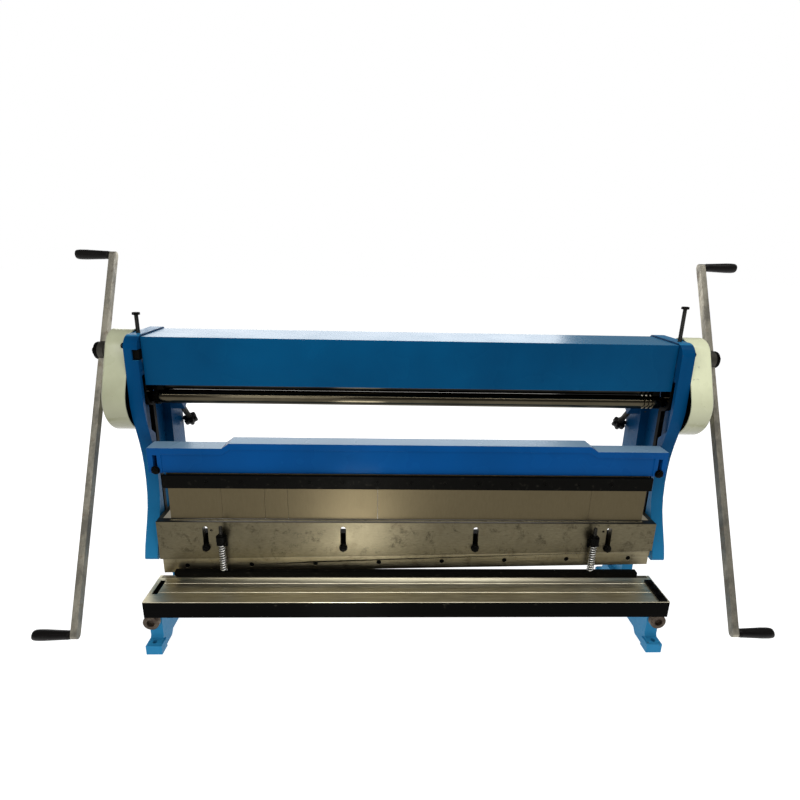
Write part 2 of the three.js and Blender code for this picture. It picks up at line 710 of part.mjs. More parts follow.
function grip(way) {
  const start = armThickness / 2 + 1;
  const end = armThickness / 2 + gripLength;
  const profile = [
    [gripPinRadius + 0.6, start], [10, start], [11, start + 6], [13.5, end - 30], [13, end - 5],
    [10.5, end], [gripPinRadius + 0.6, end], [gripPinRadius + 0.6, start],
  ];
  const geometry = new THREE.LatheGeometry(profile.map(([r, x]) => new THREE.Vector2(r, x)), 12);
  geometry.rotateZ(-Math.PI / 2);
  const body = solid(geometry);
  return way > 0 ? body : body.mirror([1, 0, 0]);
}

const armEnds = { upper: shortArm, lower: -longArm };

for (const { word, way } of sides) {
  const arm = new THREE.Group();
  arm.position.set(way * armReach, crankAt.y, crankAt.z);
  arm.rotation.x = -armLean;
  machine.add(arm);
  add(`${word}_crank_arm`, crankArm(way), barSteel, [0, 0, 0], arm);
  for (const [end, along] of Object.entries(armEnds)) {
    add(`${word}_${end}_grip`, grip(way), blackPlastic, [0, 0, along], arm);
  }
  const nut = join(
    rodX(0, 0, 24, way * gap, way * 12, 20), rodX(0, 0, 13, way * 11, way * 18, 6),
    rodX(0, 0, 5, way * 17, way * 22, 10));
  const shaftEnd = crankshaftHalf - armReach - armThickness / 2 + gap;
  const seat = rodX(0, 0, shaftRadius + gap, way * -1, way * shaftEnd, 20);
  add(`${word}_hub_nut`, cut(nut, seat), darkSteel,
    [way * (armReach + armThickness / 2), crankAt.y, crankAt.z]);
}

export default machine;
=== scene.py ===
import json
import math
import bpy
from mathutils import Matrix, Vector

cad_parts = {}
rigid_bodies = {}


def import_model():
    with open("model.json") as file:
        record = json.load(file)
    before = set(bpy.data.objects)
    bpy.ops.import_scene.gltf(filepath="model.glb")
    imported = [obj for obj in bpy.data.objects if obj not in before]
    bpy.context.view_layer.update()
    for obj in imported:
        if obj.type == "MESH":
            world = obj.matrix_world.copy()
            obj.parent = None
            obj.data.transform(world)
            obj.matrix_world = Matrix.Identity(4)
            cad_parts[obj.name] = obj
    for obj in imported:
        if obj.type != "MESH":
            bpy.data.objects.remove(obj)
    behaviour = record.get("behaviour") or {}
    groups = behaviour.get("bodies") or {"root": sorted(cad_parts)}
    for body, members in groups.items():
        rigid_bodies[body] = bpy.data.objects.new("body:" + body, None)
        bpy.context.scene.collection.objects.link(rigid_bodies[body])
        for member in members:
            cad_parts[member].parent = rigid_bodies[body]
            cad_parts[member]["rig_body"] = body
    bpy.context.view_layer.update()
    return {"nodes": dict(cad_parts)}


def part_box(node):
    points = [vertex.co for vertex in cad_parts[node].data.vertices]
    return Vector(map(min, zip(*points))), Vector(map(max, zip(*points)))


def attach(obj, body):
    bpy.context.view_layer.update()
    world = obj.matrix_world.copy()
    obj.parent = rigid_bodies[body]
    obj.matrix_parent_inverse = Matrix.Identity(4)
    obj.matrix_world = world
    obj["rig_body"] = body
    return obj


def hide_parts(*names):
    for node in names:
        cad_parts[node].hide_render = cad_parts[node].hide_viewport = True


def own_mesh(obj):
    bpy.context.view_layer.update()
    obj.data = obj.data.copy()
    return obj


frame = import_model()
nodes = frame["nodes"]
sides = {"left": -1, "right": 1}
shearPlane = 43.913  # the shearing plane stands this far in front of the footprint's middle, in mm

print("frame loaded:", len(nodes), "nodes")


def at(x, y, z):  # a place on the machine in mm, measured from the shearing plane and the floor
    return Vector((x, y - shearPlane, z)) / 1000


# camera, floor and light
view = {"place": (-80.7, -1279.5, 1099.7), "yaw": 0.0351, "pitch": 0.2837, "roll": -0.0222, "lens": 23.2}


def placeCamera():
    yaw, pitch, roll = view["yaw"], view["pitch"], view["roll"]
    ahead = Vector((math.sin(yaw) * math.cos(pitch), math.cos(yaw) * math.cos(pitch), -math.sin(pitch)))
    level = Vector((math.cos(yaw), -math.sin(yaw), 0))
    down = ahead.cross(level)
    across = math.cos(roll) * level + math.sin(roll) * down
    up = math.sin(roll) * level - math.cos(roll) * down
    bpy.ops.object.camera_add()
    camera = bpy.context.object
    camera.matrix_world = Matrix.Translation(at(*view["place"])) @ Matrix(
        (across, up, -ahead)).transposed().to_4x4()
    camera.data.lens = view["lens"]
    camera.data.sensor_width = 36
    camera.data.clip_end = 100
    bpy.context.scene.camera = camera


room = {"floor": (0.36, 0.36, 0.36), "glow": 0.93, "seen": 1.0, "fill": 0.22,
        "key": 46, "front": 12, "back": 42, "strip": 4.2, "long": 16}


def softbox(name, place, target, size, power):
    bpy.ops.object.light_add(type="AREA", location=place)
    lamp = bpy.context.object
    lamp.name = name
    lamp.rotation_euler = (Vector(target) - Vector(place)).to_track_quat("-Z", "Y").to_euler()
    lamp.data.shape = "RECTANGLE"
    lamp.data.size, lamp.data.size_y = size
    lamp.data.energy = power


def buildRoom():
    bpy.ops.mesh.primitive_plane_add(size=40, location=(0, 0, 0))
    floor = bpy.context.object
    floor.name = "floor"
    paint = bpy.data.materials.new("pale_floor")
    paint.use_nodes = True
    shader = paint.node_tree.nodes["Principled BSDF"]
    shader.inputs["Base Color"].default_value = (*room["floor"], 1)
    shader.inputs["Roughness"].default_value = 0.9
    shader.inputs["Emission Color"].default_value = (1, 1, 1, 1)
    shader.inputs["Emission Strength"].default_value = room["glow"]
    floor.data.materials.append(paint)
    world = bpy.context.scene.world or bpy.data.worlds.new("studio")
    bpy.context.scene.world = world
    world.use_nodes = True
    tree = world.node_tree
    sky = tree.nodes["Background"]
    sky.inputs["Color"].default_value = (1, 1, 1, 1)
    path = tree.nodes.new("ShaderNodeLightPath")
    level = tree.nodes.new("ShaderNodeMapRange")
    level.inputs["To Min"].default_value = room["fill"]
    level.inputs["To Max"].default_value = room["seen"]
    tree.links.new(path.outputs["Is Camera Ray"], level.inputs["Value"])
    tree.links.new(level.outputs["Result"], sky.inputs["Strength"])
    softbox("key_softbox", (0.4, -0.7, 2.9), (0, 0.05, 0.5), (3.2, 1.6), room["key"])
    softbox("front_softbox", (-0.9, -2.6, 1.5), (-0.1, 0, 0.45), (0.9, 1.6), room["front"])
    softbox("back_softbox", (-0.5, 2.7, 1.5), (-0.2, 0.1, 0.75), (3.9, 1.5), room["back"])
    softbox("low_strip", (-0.19, -0.78, 0.004), (-0.19, -0.78, 1), (0.2, 0.9), room["strip"])
    softbox("long_softbox", (0, -2.2, 2.45), (0, 0.05, 0.7), (5.0, 0.1), room["long"])
    bpy.context.scene.view_settings.view_transform = "Standard"


bpy.ops.object.select_all(action="DESELECT")
placeCamera()
buildRoom()
print("camera, floor and light placed")


# finishes
class Field:  # a value that varies over a surface; arithmetic on it adds Math nodes
    def __init__(self, finish, socket):
        self.finish, self.socket = finish, socket

    def math(self, operation, first, second=0.0):
        node = self.finish.make("ShaderNodeMath", {"operation": operation}, {0: first, 1: second})
        return node["Value"]

    def __add__(self, other): return self.math("ADD", self, other)
    def __radd__(self, other): return self.math("ADD", other, self)
    def __sub__(self, other): return self.math("SUBTRACT", self, other)
    def __rsub__(self, other): return self.math("SUBTRACT", other, self)
    def __mul__(self, other): return self.math("MULTIPLY", self, other)
    def __rmul__(self, other): return self.math("MULTIPLY", other, self)
    def __lt__(self, other): return self.math("LESS_THAN", self, other)
    def __gt__(self, other): return self.math("GREATER_THAN", self, other)
    def wave(self): return self.math("SINE", self)


class Made:  # a node's outputs by name
    def __init__(self, finish, node):
        self.finish, self.node = finish, node

    def __getitem__(self, name):
        return Field(self.finish, self.node.outputs[name])


class Finish:
    def __init__(self, name, **fixed):
        self.material = bpy.data.materials.new(name)
        self.material.use_nodes = True
        self.tree = self.material.node_tree
        self.shader = self.tree.nodes["Principled BSDF"]
        for key, value in fixed.items():
            self.set(key.replace("_", " "), value)
        self.place = self.make("ShaderNodeTexCoord", {}, {})["Object"]

    def make(self, kind, settings, inputs):
        node = self.tree.nodes.new(kind)
        for key, value in settings.items():
            if key == "stops":
                while len(node.color_ramp.elements) < len(value):
                    node.color_ramp.elements.new(0.5)
                for element, (position, color) in zip(node.color_ramp.elements, value):
                    element.position, element.color = position, (*color, 1)
            else:
                setattr(node, key, value)
        for key, value in inputs.items():
            self.feed(node.inputs[key], value)
        return Made(self, node)

    def feed(self, socket, value):
        if isinstance(value, Field):
            self.tree.links.new(value.socket, socket)
        else:
            socket.default_value = (*value, 1) if socket.type == "RGBA" and len(value) == 3 else value

    def set(self, name, value):
        self.feed(self.shader.inputs[name], value)

    def stretched(self, scale):
        return self.make("ShaderNodeMapping", {}, {"Vector": self.place, "Scale": scale})["Vector"]

    def noise(self, scale, detail=4.0, stretch=None, rough=0.55, warp=0.0):
        where = self.stretched(stretch) if stretch else self.place
        return self.make("ShaderNodeTexNoise", {}, {
            "Vector": where, "Scale": scale, "Detail": detail, "Roughness": rough, "Distortion": warp})["Fac"]

    def spots(self, scale, low, high):  # speckles where a fine noise rises above a level
        return self.span(self.noise(scale, 6.0), low, high)

    def span(self, value, low, high, start=0.0, end=1.0):
        return self.make("ShaderNodeMapRange", {}, {
            "Value": value, "From Min": low, "From Max": high, "To Min": start, "To Max": end})["Result"]

    def blend(self, share, first, second):
        node = self.tree.nodes.new("ShaderNodeMix")
        node.data_type = "RGBA"
        for index, value in ((0, share), (6, first), (7, second)):
            self.feed(node.inputs[index], value)
        return Field(self, node.outputs[2])

    def height(self, value, strength, distance, under=None):
        inputs = {"Height": value, "Strength": strength, "Distance": distance}
        if under is not None:
            inputs["Normal"] = under
        return self.make("ShaderNodeBump", {}, inputs)["Normal"]

    def tops(self):  # 1 on faces that look up
        normal = self.make("ShaderNodeTexCoord", {}, {})["Normal"]
        return self.make("ShaderNodeSeparateXYZ", {}, {"Vector": normal})["Z"] > 0.9

    def axes(self):
        parts = self.make("ShaderNodeSeparateXYZ", {}, {"Vector": self.place})
        return parts["X"], parts["Y"], parts["Z"]


paintValues = {
    "coverBlue": (0.001, 0.054, 0.136), "coverDeep": (0.001, 0.038, 0.1),
    "beamBlue": (0.001, 0.05, 0.19), "beamDeep": (0.001, 0.038, 0.142),
    "castBlue": (0.001, 0.062, 0.17), "castDeep": (0.001, 0.032, 0.1),
    "cream": (0.66, 0.68, 0.46), "creamShade": (0.12, 0.115, 0.065), "creamGrime": (0.15, 0.13, 0.07)}


blueTint = (0.02, 0.2, 0.45)


def bluePaint(name, clean, deep, paintedTopLight):
    f = Finish(name, Coat_Weight=0.02, Coat_Roughness=0.08, Specular_IOR_Level=0.3, Specular_Tint=blueTint)
    cloud = f.noise(3.0, 3.0)
    streak = f.noise(2.2, 5.0, (1.0, 1.0, 0.18))
    dust = f.spots(210.0, 0.68, 0.8)
    color = f.blend(f.span(cloud, 0.35, 0.65), paintValues[clean], paintValues[deep])
    paler = tuple(1.3 * part for part in paintValues[clean])
    color = f.blend(f.span(streak, 0.52, 0.8, 0.0, 0.3), color, paler)
    # painted highlight: faces that look up are painted a paler blue, standing in for light from above and its
    # reflection in the gloss
    color = f.blend(f.tops() * 0.8, color, paintedTopLight)
    color = f.blend(dust * 0.06, color, (0.2, 0.25, 0.28))
    f.set("Base Color", color)
    f.set("Roughness", f.span(f.noise(7.0, 2.0), 0.3, 0.75, 0.24, 0.3))
    f.set("Normal", f.height(cloud, 0.04, 0.003))
    return f.material


def castBluePaint():  # thicker brush-painted castings, a little rougher than the sheet
    f = Finish("blue_cast_paint", Coat_Weight=0.02, Coat_Roughness=0.1, Specular_IOR_Level=0.1,
               Specular_Tint=blueTint)
    grain = f.noise(90.0, 5.0)
    runs = f.noise(4.0, 4.0, (1.0, 1.0, 0.22))
    chips = f.spots(55.0, 0.7, 0.735)
    # painted light: the casting is painted paler below 0.6 m towards the floor and on faces that look up,
    # standing in for light bounced from the floor and light falling from above
    low = f.span(f.axes()[2], 0.6, 0.12) + f.tops() * 0.6
    color = f.blend(f.span(runs, 0.35, 0.7), paintValues["castBlue"], paintValues["castDeep"])
    color = f.blend(low * 0.8, color, (0.03, 0.25, 0.48))
    color = f.blend(chips * 0.7, color, (0.05, 0.05, 0.05))
    f.set("Base Color", color)
    f.set("Roughness", f.span(grain, 0.3, 0.7, 0.24, 0.46))
    f.set("Normal", f.height(grain, 0.16, 0.0018, f.height(f.noise(14.0, 3.0), 0.25, 0.006)))
    return f.material


def creamPaint(name, paintedLightLevel):
    f = Finish(name, Coat_Weight=0.3, Coat_Roughness=0.1, Specular_IOR_Level=0.3)
    _, _, z = f.axes()
    # painted shade: the cream is painted darker towards the bottom of the cover, below 0.77 m
    low = f.span(z, 0.77, 0.6)
    cloud = f.noise(9.0, 4.0)
    color = f.blend(low * 0.9, tuple(paintedLightLevel * part for part in paintValues["cream"]), paintValues["creamShade"])
    color = f.blend(f.span(cloud, 0.52, 0.74, 0.0, 0.22), color, paintValues["creamShade"])
    color = f.blend(f.spots(70.0, 0.67, 0.74) * 0.5, color, paintValues["creamGrime"])
    f.set("Base Color", color)
    f.set("Roughness", f.span(cloud, 0.3, 0.7, 0.2, 0.38))
    f.set("Normal", f.height(f.noise(180.0, 2.0), 0.12, 0.001, f.height(f.noise(12.0, 2.0), 0.12, 0.006)))
    return f.material


def groundSteel(name, pale, dark, stretch=(0.35, 9.0, 9.0), stain=0.6, roughness=(0.27, 0.46), rust=0.35,
                specks=0.0, reflectionTop=None):  # the height in m above which the narrow top is painted dark: a painted reflection of the fingers
    f = Finish(name, Metallic=1.0)
    lay = f.noise(42.0, 6.0, stretch, 0.65)
    cloud = f.noise(3.4, 5.0, None, 0.6, 0.6)
    mottle = f.noise(26.0, 6.0, None, 0.7)
    color = f.blend(f.span(lay, 0.3, 0.7), dark, pale)
    color = f.blend(f.span(cloud, 0.42, 0.66, 0.0, stain), color, tuple(0.7 * part for part in dark))
    color = f.blend(f.span(mottle, 0.56, 0.72, 0.0, rust), color, (0.07, 0.048, 0.027))
    if specks:
        blotch = f.span(f.noise(30.0, 7.0, None, 0.8, 0.3), 0.53, 0.64, 0.0, specks)
        color = f.blend(blotch, color, (0.035, 0.029, 0.018))
    # painted reflection: the ram's narrow top is painted dark like the fingers it mirrors
    if reflectionTop:
        color = f.blend(f.axes()[2] > reflectionTop, color, (0.05, 0.042, 0.028))
    f.set("Base Color", color)
    f.set("Roughness", f.span(lay + mottle * 0.5, 0.45, 1.0, *roughness))
    scratch = f.noise(120.0, 2.0, (0.2, 6.0, 6.0))
    f.set("Normal", f.height(scratch, 0.12, 0.0008, f.height(mottle, 0.06, 0.001)))
    return f.material


def tableSteel():  # ground on top, painted black on its front and ends
    f = Finish("table_steel", Specular_IOR_Level=0.03, Specular_Tint=(0.3, 0.3, 0.3))
    _, _, z = f.axes()
    lay = f.noise(42.0, 6.0, (0.35, 9.0, 9.0), 0.65)
    cloud = f.noise(3.4, 5.0, None, 0.6, 0.6)
    ground = f.blend(f.span(lay, 0.3, 0.7), (0.66, 0.6, 0.42), (0.95, 0.89, 0.68))
    ground = f.blend(f.span(cloud, 0.45, 0.68, 0.0, 0.5), ground, (0.45, 0.38, 0.25))
    painted = (z < 0.2008) * 1.0
    chips = f.spots(38.0, 0.66, 0.7) * f.span(z, 0.18, 0.2)
    black = f.blend(chips * 0.6, (0.0015, 0.0015, 0.0012), (0.05, 0.045, 0.035))
    f.set("Base Color", f.blend(painted, ground, black))
    f.set("Metallic", 1.0 - painted)
    f.set("Roughness", f.span(lay, 0.3, 0.7, 0.3, 0.42) + painted * 0.12)
    f.set("Normal", f.height(f.noise(120.0, 2.0, (0.2, 6.0, 6.0)), 0.1, 0.0008))
    return f.material


def rollSteel(name, pale, dark):  # turned steel with fine rings round the roll
    f = Finish(name, Metallic=1.0)
    rings = f.noise(70.0, 4.0, (12.0, 0.2, 0.2))
    wear = f.noise(6.0, 5.0, (1.0, 3.0, 3.0))
    color = f.blend(f.span(wear, 0.45, 0.7), pale, dark)
    darker = tuple(0.6 * part for part in dark)
    f.set("Base Color", f.blend(f.span(rings, 0.5, 0.72, 0.0, 0.3), color, darker))
    f.set("Roughness", f.span(rings, 0.3, 0.7, 0.09, 0.16))
    f.set("Normal", f.height(rings, 0.04, 0.0004))
    return f.material


hubAt = (0.0671, 0.8225, 0.0255)  # the hub of both cranks, painted near-black within this radius: Y, Z and radius in m


def barSteel():  # hot rolled bar with its mill skin rubbed through in places
    f = Finish("bar_steel")
    skin = f.span(f.noise(20.0, 7.0, (1.0, 1.0, 0.4), 0.7), 0.42, 0.6)
    cloud = f.noise(60.0, 5.0)
    color = f.blend(skin, (0.36, 0.335, 0.27), (0.14, 0.13, 0.105))
    color = f.blend(f.span(cloud, 0.58, 0.75, 0.0, 0.6), color, (0.14, 0.085, 0.045))
    _, y, z = f.axes()
    # the bar steel is painted near-black within the hub radius
    hub = ((y - hubAt[0]) * (y - hubAt[0]) + (z - hubAt[1]) * (z - hubAt[1])) < hubAt[2] * hubAt[2]
    color = f.blend(hub * 0.85, color, (0.012, 0.011, 0.009))
    f.set("Base Color", color)
    f.set("Metallic", 1.0 - skin * 0.45)
    f.set("Roughness", f.span(cloud, 0.3, 0.7, 0.34, 0.56))
    f.set("Normal", f.height(cloud, 0.2, 0.0012, f.height(skin, 0.12, 0.0008)))
    return f.material


def darkSteel(name="dark_steel", base=(0.003, 0.0029, 0.0025), worn=(0.05, 0.045, 0.035), bright=0.25):
    f = Finish(name, Metallic=0.4, Specular_IOR_Level=0.08, Specular_Tint=(0.3, 0.3, 0.28))
    oil = f.noise(30.0, 5.0)
    rub = f.spots(75.0, 0.6, 0.74)
    f.set("Base Color", f.blend(rub * bright, base, worn))
    f.set("Roughness", f.span(oil, 0.3, 0.7, 0.3, 0.52))
    f.set("Normal", f.height(f.noise(210.0, 3.0), 0.16, 0.0008, f.height(oil, 0.06, 0.002)))
    return f.material


def threadSteel(name, direction, pitch=0.002):  # a screw's thread as fine rings along its length
    f = Finish(name, Metallic=0.8, Specular_IOR_Level=0.2)
    where = f.make("ShaderNodeVectorMath", {"operation": "DOT_PRODUCT"}, {0: f.place, 1: direction})["Value"]
    rings = (where * (2 * math.pi / pitch)).wave()
    f.set("Base Color", f.blend(f.span(rings, -1.0, 1.0), (0.004, 0.004, 0.004), (0.05, 0.047, 0.04)))
    f.set("Roughness", f.span(f.noise(60.0), 0.3, 0.7, 0.3, 0.5))
    f.set("Normal", f.height(rings, 0.7, 0.0005))
    return f.material


def rustySteel():
    f = Finish("rusty_steel")
    patch = f.span(f.noise(70.0, 7.0, None, 0.7), 0.42, 0.6)
    color = f.blend(patch, (0.085, 0.068, 0.05), (0.045, 0.024, 0.012))
    f.set("Base Color", f.blend(f.spots(190.0, 0.55, 0.7), color, (0.012, 0.008, 0.006)))
    f.set("Metallic", 0.9 - patch * 0.7)
    f.set("Roughness", 0.38 + patch * 0.35)
    f.set("Normal", f.height(f.noise(150.0, 6.0), 0.4, 0.0012))
    return f.material


def springSteel():
    f = Finish("spring_steel", Metallic=1.0)
    haze = f.noise(120.0, 3.0)
    f.set("Base Color", f.blend(f.span(haze, 0.4, 0.7), (0.78, 0.78, 0.76), (0.5, 0.49, 0.46)))
    f.set("Roughness", f.span(haze, 0.3, 0.7, 0.16, 0.32))
    f.set("Normal", f.height(haze, 0.06, 0.0004))
    return f.material


def blackPlastic():
    f = Finish("black_plastic", Specular_IOR_Level=0.3, Specular_Tint=(0.3, 0.28, 0.28))
    grain = f.noise(420.0, 3.0)
    scuff = f.noise(45.0, 6.0, None, 0.7)
    worn = f.span(scuff, 0.56, 0.75, 0.0, 0.5)
    f.set("Base Color", f.blend(worn, (0.004, 0.0036, 0.0034), (0.02, 0.019, 0.018)))
    f.set("Roughness", f.span(scuff, 0.3, 0.7, 0.3, 0.48))
    f.set("Normal", f.height(grain, 0.14, 0.0005))
    return f.material


screwWay = Vector((0, -0.679, 0.734)).normalized()
finishes = {
    # the last colour of each blue paint is its painted highlight for faces that look up
    "cover": bluePaint("cover_paint", "coverBlue", "coverDeep", (0.004, 0.15, 0.3)),
    "beam": bluePaint("beam_paint", "beamBlue", "beamDeep", (0.2, 0.32, 0.42)),
    "cast": castBluePaint(),
    # painted shade: the left cover's cream is painted at 0.62 of the right's brightness, a shaded copy of the
    # same paint
    "leftCream": creamPaint("left_cream_paint", 0.62), "rightCream": creamPaint("right_cream_paint", 1.0),
    "table": tableSteel(),
    # above 0.3693 m the ram's narrow top is painted dark, a painted reflection of the fingers
    "ground": groundSteel("ground_steel", (0.142, 0.123, 0.077), (0.094, 0.081, 0.05), (1.5, 6.0, 6.0),
                          rust=0.35, specks=0.7, reflectionTop=0.3693),
    "finger": groundSteel("finger_steel", (0.098, 0.079, 0.045), (0.087, 0.07, 0.039), (5.0, 5.0, 1.2), 0.12,
                          (0.33, 0.4), 0.12),
    "blade": groundSteel("blade_steel", (0.27, 0.237, 0.155), (0.17, 0.147, 0.092), rust=0.4, specks=0.4),
    "roll": rollSteel("roll_steel", (0.075, 0.064, 0.042), (0.045, 0.038, 0.024)),
    # painted shade: a near-black roll finish standing in for the shade under the top cover
    "oilyRoll": rollSteel("painted_shade_roll", (0.022, 0.019, 0.014), (0.008, 0.007, 0.005)),
    "bar": barSteel(), "dark": darkSteel(),
    "bright": darkSteel("bright_bolt", (0.1, 0.09, 0.07), (0.03, 0.026, 0.02), 0.7),
    "rust": rustySteel(), "spring": springSteel(), "plastic": blackPlastic(),
    "upThread": threadSteel("upright_thread", (0, 0, 1)),
    "leanThread": threadSteel("leaning_thread", tuple(screwWay)),
}
print("finishes made:", len(finishes))


# ways of shaping
def only(piece):
    if bpy.context.object and bpy.context.object.mode != "OBJECT":
        bpy.ops.object.mode_set(mode="OBJECT")
    bpy.ops.object.select_all(action="DESELECT")
    piece.select_set(True)
    bpy.context.view_layer.objects.active = piece


def modified(piece, kind, **settings):
    only(piece)
    modifier = piece.modifiers.new(kind.lower(), kind)
    for key, value in settings.items():
        setattr(modifier, key, value)
    bpy.ops.object.modifier_apply(modifier=modifier.name)


def rounded(piece, width, segments=2, angle=30):
    modified(piece, "BEVEL", width=width / 1000, segments=segments, limit_method="ANGLE",
             angle_limit=math.radians(angle), use_clamp_overlap=True)


def smoothed(piece, angle=32):
    only(piece)
    bpy.ops.object.transform_apply(location=True, rotation=True, scale=True)
    bpy.ops.object.shade_smooth_by_angle(angle=math.radians(angle))


def settle(piece, body, finish, replaced=()):
    piece.data.materials.clear()
    piece.data.materials.append(finishes[finish])
    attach(piece, body)
    if replaced:
        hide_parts(*replaced)
    return piece


def turned(name, stations, base, axis=(1, 0, 0), sides=32):  # stations: (mm along the axis, radius in mm)
    only(nodes["top_cover"])
    bpy.ops.object.select_all(action="DESELECT")
    way = Vector(axis).normalized()
    first, radius = stations[0]
    bpy.ops.mesh.primitive_circle_add(
        vertices=sides, radius=radius / 1000, fill_type="NGON", location=base + way * first / 1000,
        rotation=way.to_track_quat("Z", "Y").to_euler())
    piece = bpy.context.object
    piece.name = name
    bpy.ops.object.mode_set(mode="EDIT")
    bpy.ops.mesh.select_all(action="SELECT")
    for (along, wide), (nextAlong, nextWide) in zip(stations, stations[1:]):
        step = way * (nextAlong - along) / 1000
        bpy.ops.mesh.extrude_region_move(TRANSFORM_OT_translate={"value": step})
        scale = nextWide / wide
        if abs(scale - 1) > 1e-6:
            bpy.ops.transform.resize(value=(scale,) * 3, center_override=base + way * nextAlong / 1000)
    bpy.ops.mesh.select_all(action="SELECT")
    bpy.ops.mesh.remove_doubles(threshold=1e-6)
    bpy.ops.mesh.normals_make_consistent(inside=False)
    bpy.ops.object.mode_set(mode="OBJECT")
    bpy.ops.object.transform_apply(location=True, rotation=True, scale=True)
    return piece


def joined(name, *pieces):
    only(pieces[0])
    for piece in pieces[1:]:
        piece.select_set(True)
    bpy.ops.object.join()
    pieces[0].name = name
    return pieces[0]


def copied(piece, name, offset):  # a copy with its own mesh, moved by mm
    twin = bpy.data.objects.new(name, piece.data.copy())
    bpy.context.scene.collection.objects.link(twin)
    twin.data.transform(Matrix.Translation(Vector(offset) / 1000))
    return twin


def slab(name, low, high):  # a block between two corners given in machine mm
    first, last = at(*low), at(*high)
    bpy.ops.mesh.primitive_cube_add(size=1, location=(first + last) / 2, scale=last - first)
    piece = bpy.context.object
    piece.name = name
    bpy.ops.object.transform_apply(location=True, rotation=True, scale=True)
    return piece


def hexHead(name, radius, height, base, axis, dish=1.2):
    head = turned(name, [(0, radius), (height - dish, radius), (height, radius * 0.9)], base, axis, 6)
    rounded(head, 0.5, 2, 20)
    return head


def washer(name, radius, thick, base, axis):
    return turned(name, [(0, radius - 0.4), (0.4, radius), (thick - 0.4, radius), (thick, radius - 0.4)],
                  base, axis, 36)


def socketHead(name, radius, height, hollow, depth, base, axis, sides=30):
    return turned(name, [(0, radius), (height - 0.5, radius), (height, radius - 0.5), (height, hollow),
                         (height - depth, hollow)], base, axis, sides)


# CAD pieces with broken edges
edges = {
    "left_side_frame": (4.0, 4, "cast"), "right_side_frame": (4.0, 4, "cast"), "top_cover": (2.2, 3, "cover"),
    "upper_die_beam": (1.0, 2, "beam"), "work_table": (0.8, 2, "table"), "ram_plate": (0.7, 2, "ground"),
    "lower_shear_blade": (0.5, 2, "blade"), "upper_shear_blade": (0.5, 2, "blade"),
    "die_clamp_bar": (1.2, 2, "dark"), "hold_down_bar": (1.6, 2, "dark"), "guide_bar": (0.8, 2, "dark"),
    "left_crank_arm": (1.2, 2, "bar"), "right_crank_arm": (1.2, 2, "bar"),
    "left_connecting_rod": (1.0, 2, "dark"), "right_connecting_rod": (1.0, 2, "dark"),
    "left_spring_lug": (0.8, 2, "dark"), "right_spring_lug": (0.8, 2, "dark"),
    "left_upper_block": (1.0, 2, "dark"), "right_upper_block": (1.0, 2, "dark"),
    "left_rear_block": (1.5, 2, "dark"), "right_rear_block": (1.5, 2, "dark"),
    "table_gauge": (0.5, 2, "dark"),
}
edges.update({f"finger_{count}": (0.5, 2, "finger") for count in range(1, 7)})


def brokenEdges(node, width, segments, finish):
    source = nodes[node]
    piece = bpy.data.objects.new(node + "_shaped", source.data.copy())
    bpy.context.scene.collection.objects.link(piece)
    only(piece)
    bpy.ops.object.mode_set(mode="EDIT")
    bpy.ops.mesh.select_all(action="SELECT")
    bpy.ops.mesh.remove_doubles(threshold=2e-6)
    bpy.ops.mesh.dissolve_limited(angle_limit=math.radians(1.0))
    bpy.ops.object.mode_set(mode="OBJECT")
    rounded(piece, width, segments)
    smoothed(piece)
    modified(piece, "WEIGHTED_NORMAL", keep_sharp=True)
    return settle(piece, source["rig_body"], finish, [node])


shaped = {node: brokenEdges(node, *values) for node, values in edges.items()}
print("edges broken on", len(shaped), "pieces")

hidden = {"rear_tie_bar": "dark", "crankshaft": "bar", "left_drive_gear": "dark", "right_drive_gear": "dark",
          "left_pinion": "dark", "right_pinion": "dark", "lower_roll_gear": "dark", "upper_roll_gear": "dark"}
for node, finish in hidden.items():
    nodes[node].data.materials.clear()
    nodes[node].data.materials.append(finishes[finish])


# rolls
rollValues = {"radius": 19.5, "chamfer": 1.5, "grooves": (650, 662, 674), "grooveWidth": 3.2,
              "grooveDepth": 3.0}


def barrel(start, end, grooves):
    radius, chamfer = rollValues["radius"], rollValues["chamfer"]
    wide, deep = rollValues["grooveWidth"], rollValues["grooveDepth"]
    stations = [(start, radius - chamfer), (start + chamfer, radius)]
    for middle in grooves:
        stations += [(middle - wide, radius), (middle - wide / 3, radius - deep),
                     (middle + wide / 3, radius - deep), (middle + wide, radius)]
    return stations + [(end - chamfer, radius), (end, radius - chamfer)]


def buildRolls():
    lowAt, highAt = at(0, 100, 701), at(0, 100, 741)
    low = turned("low", [(-790, 11.5), (-788.5, 13), (-688, 13), *barrel(-688, 700, rollValues["grooves"]),
                         (700, 13), (788.5, 13), (790, 11.5)], lowAt, sides=48)
    discs = [turned(f"disc{way}", [(-3.25, 34.2), (-2.5, 35), (2.5, 35), (3.25, 34.2)],
                    at(way * 725.75, 100, 722), sides=48) for way in sides.values()]
    low = joined("lower_roll_turned", low, *discs)
    smoothed(low)
    settle(low, "lower_roll", "roll", ["lower_roll"])
    grooves = [middle - 12 for middle in rollValues["grooves"]]
    high = turned("upper_roll_turned", [(-703, 11), (-702, 12), (-668, 12), *barrel(-668, 668, grooves),
                                        (668, 12), (686.5, 12), (687.5, 11)], highAt, sides=48)
    smoothed(high)
    # the upper roll takes the near-black finish: painted shade under the top cover
    settle(high, "upper_roll", "oilyRoll", ["upper_roll"])
    low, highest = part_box("rear_roll")
    middle = (low + highest) / 2
    rear = turned("rear_roll_turned", [(-696, 10), (-695, 11), (-666, 11), *barrel(-666, 666, []),
                                       (666, 11), (695, 11), (696, 10)],
                  Vector((0, middle.y, middle.z)), sides=48)
    smoothed(rear)
    settle(rear, "rear_roll", "roll", ["rear_roll"])


buildRolls()
print("rolls turned")


# gear covers
coverValues = {"lowRadius": 92, "highRadius": 54, "lowAt": (100, 701), "highAt": (112, 829), "inner": 741.3,
               "outer": 803, "round": 7, "wall": 2.5, "shaftHole": 15}


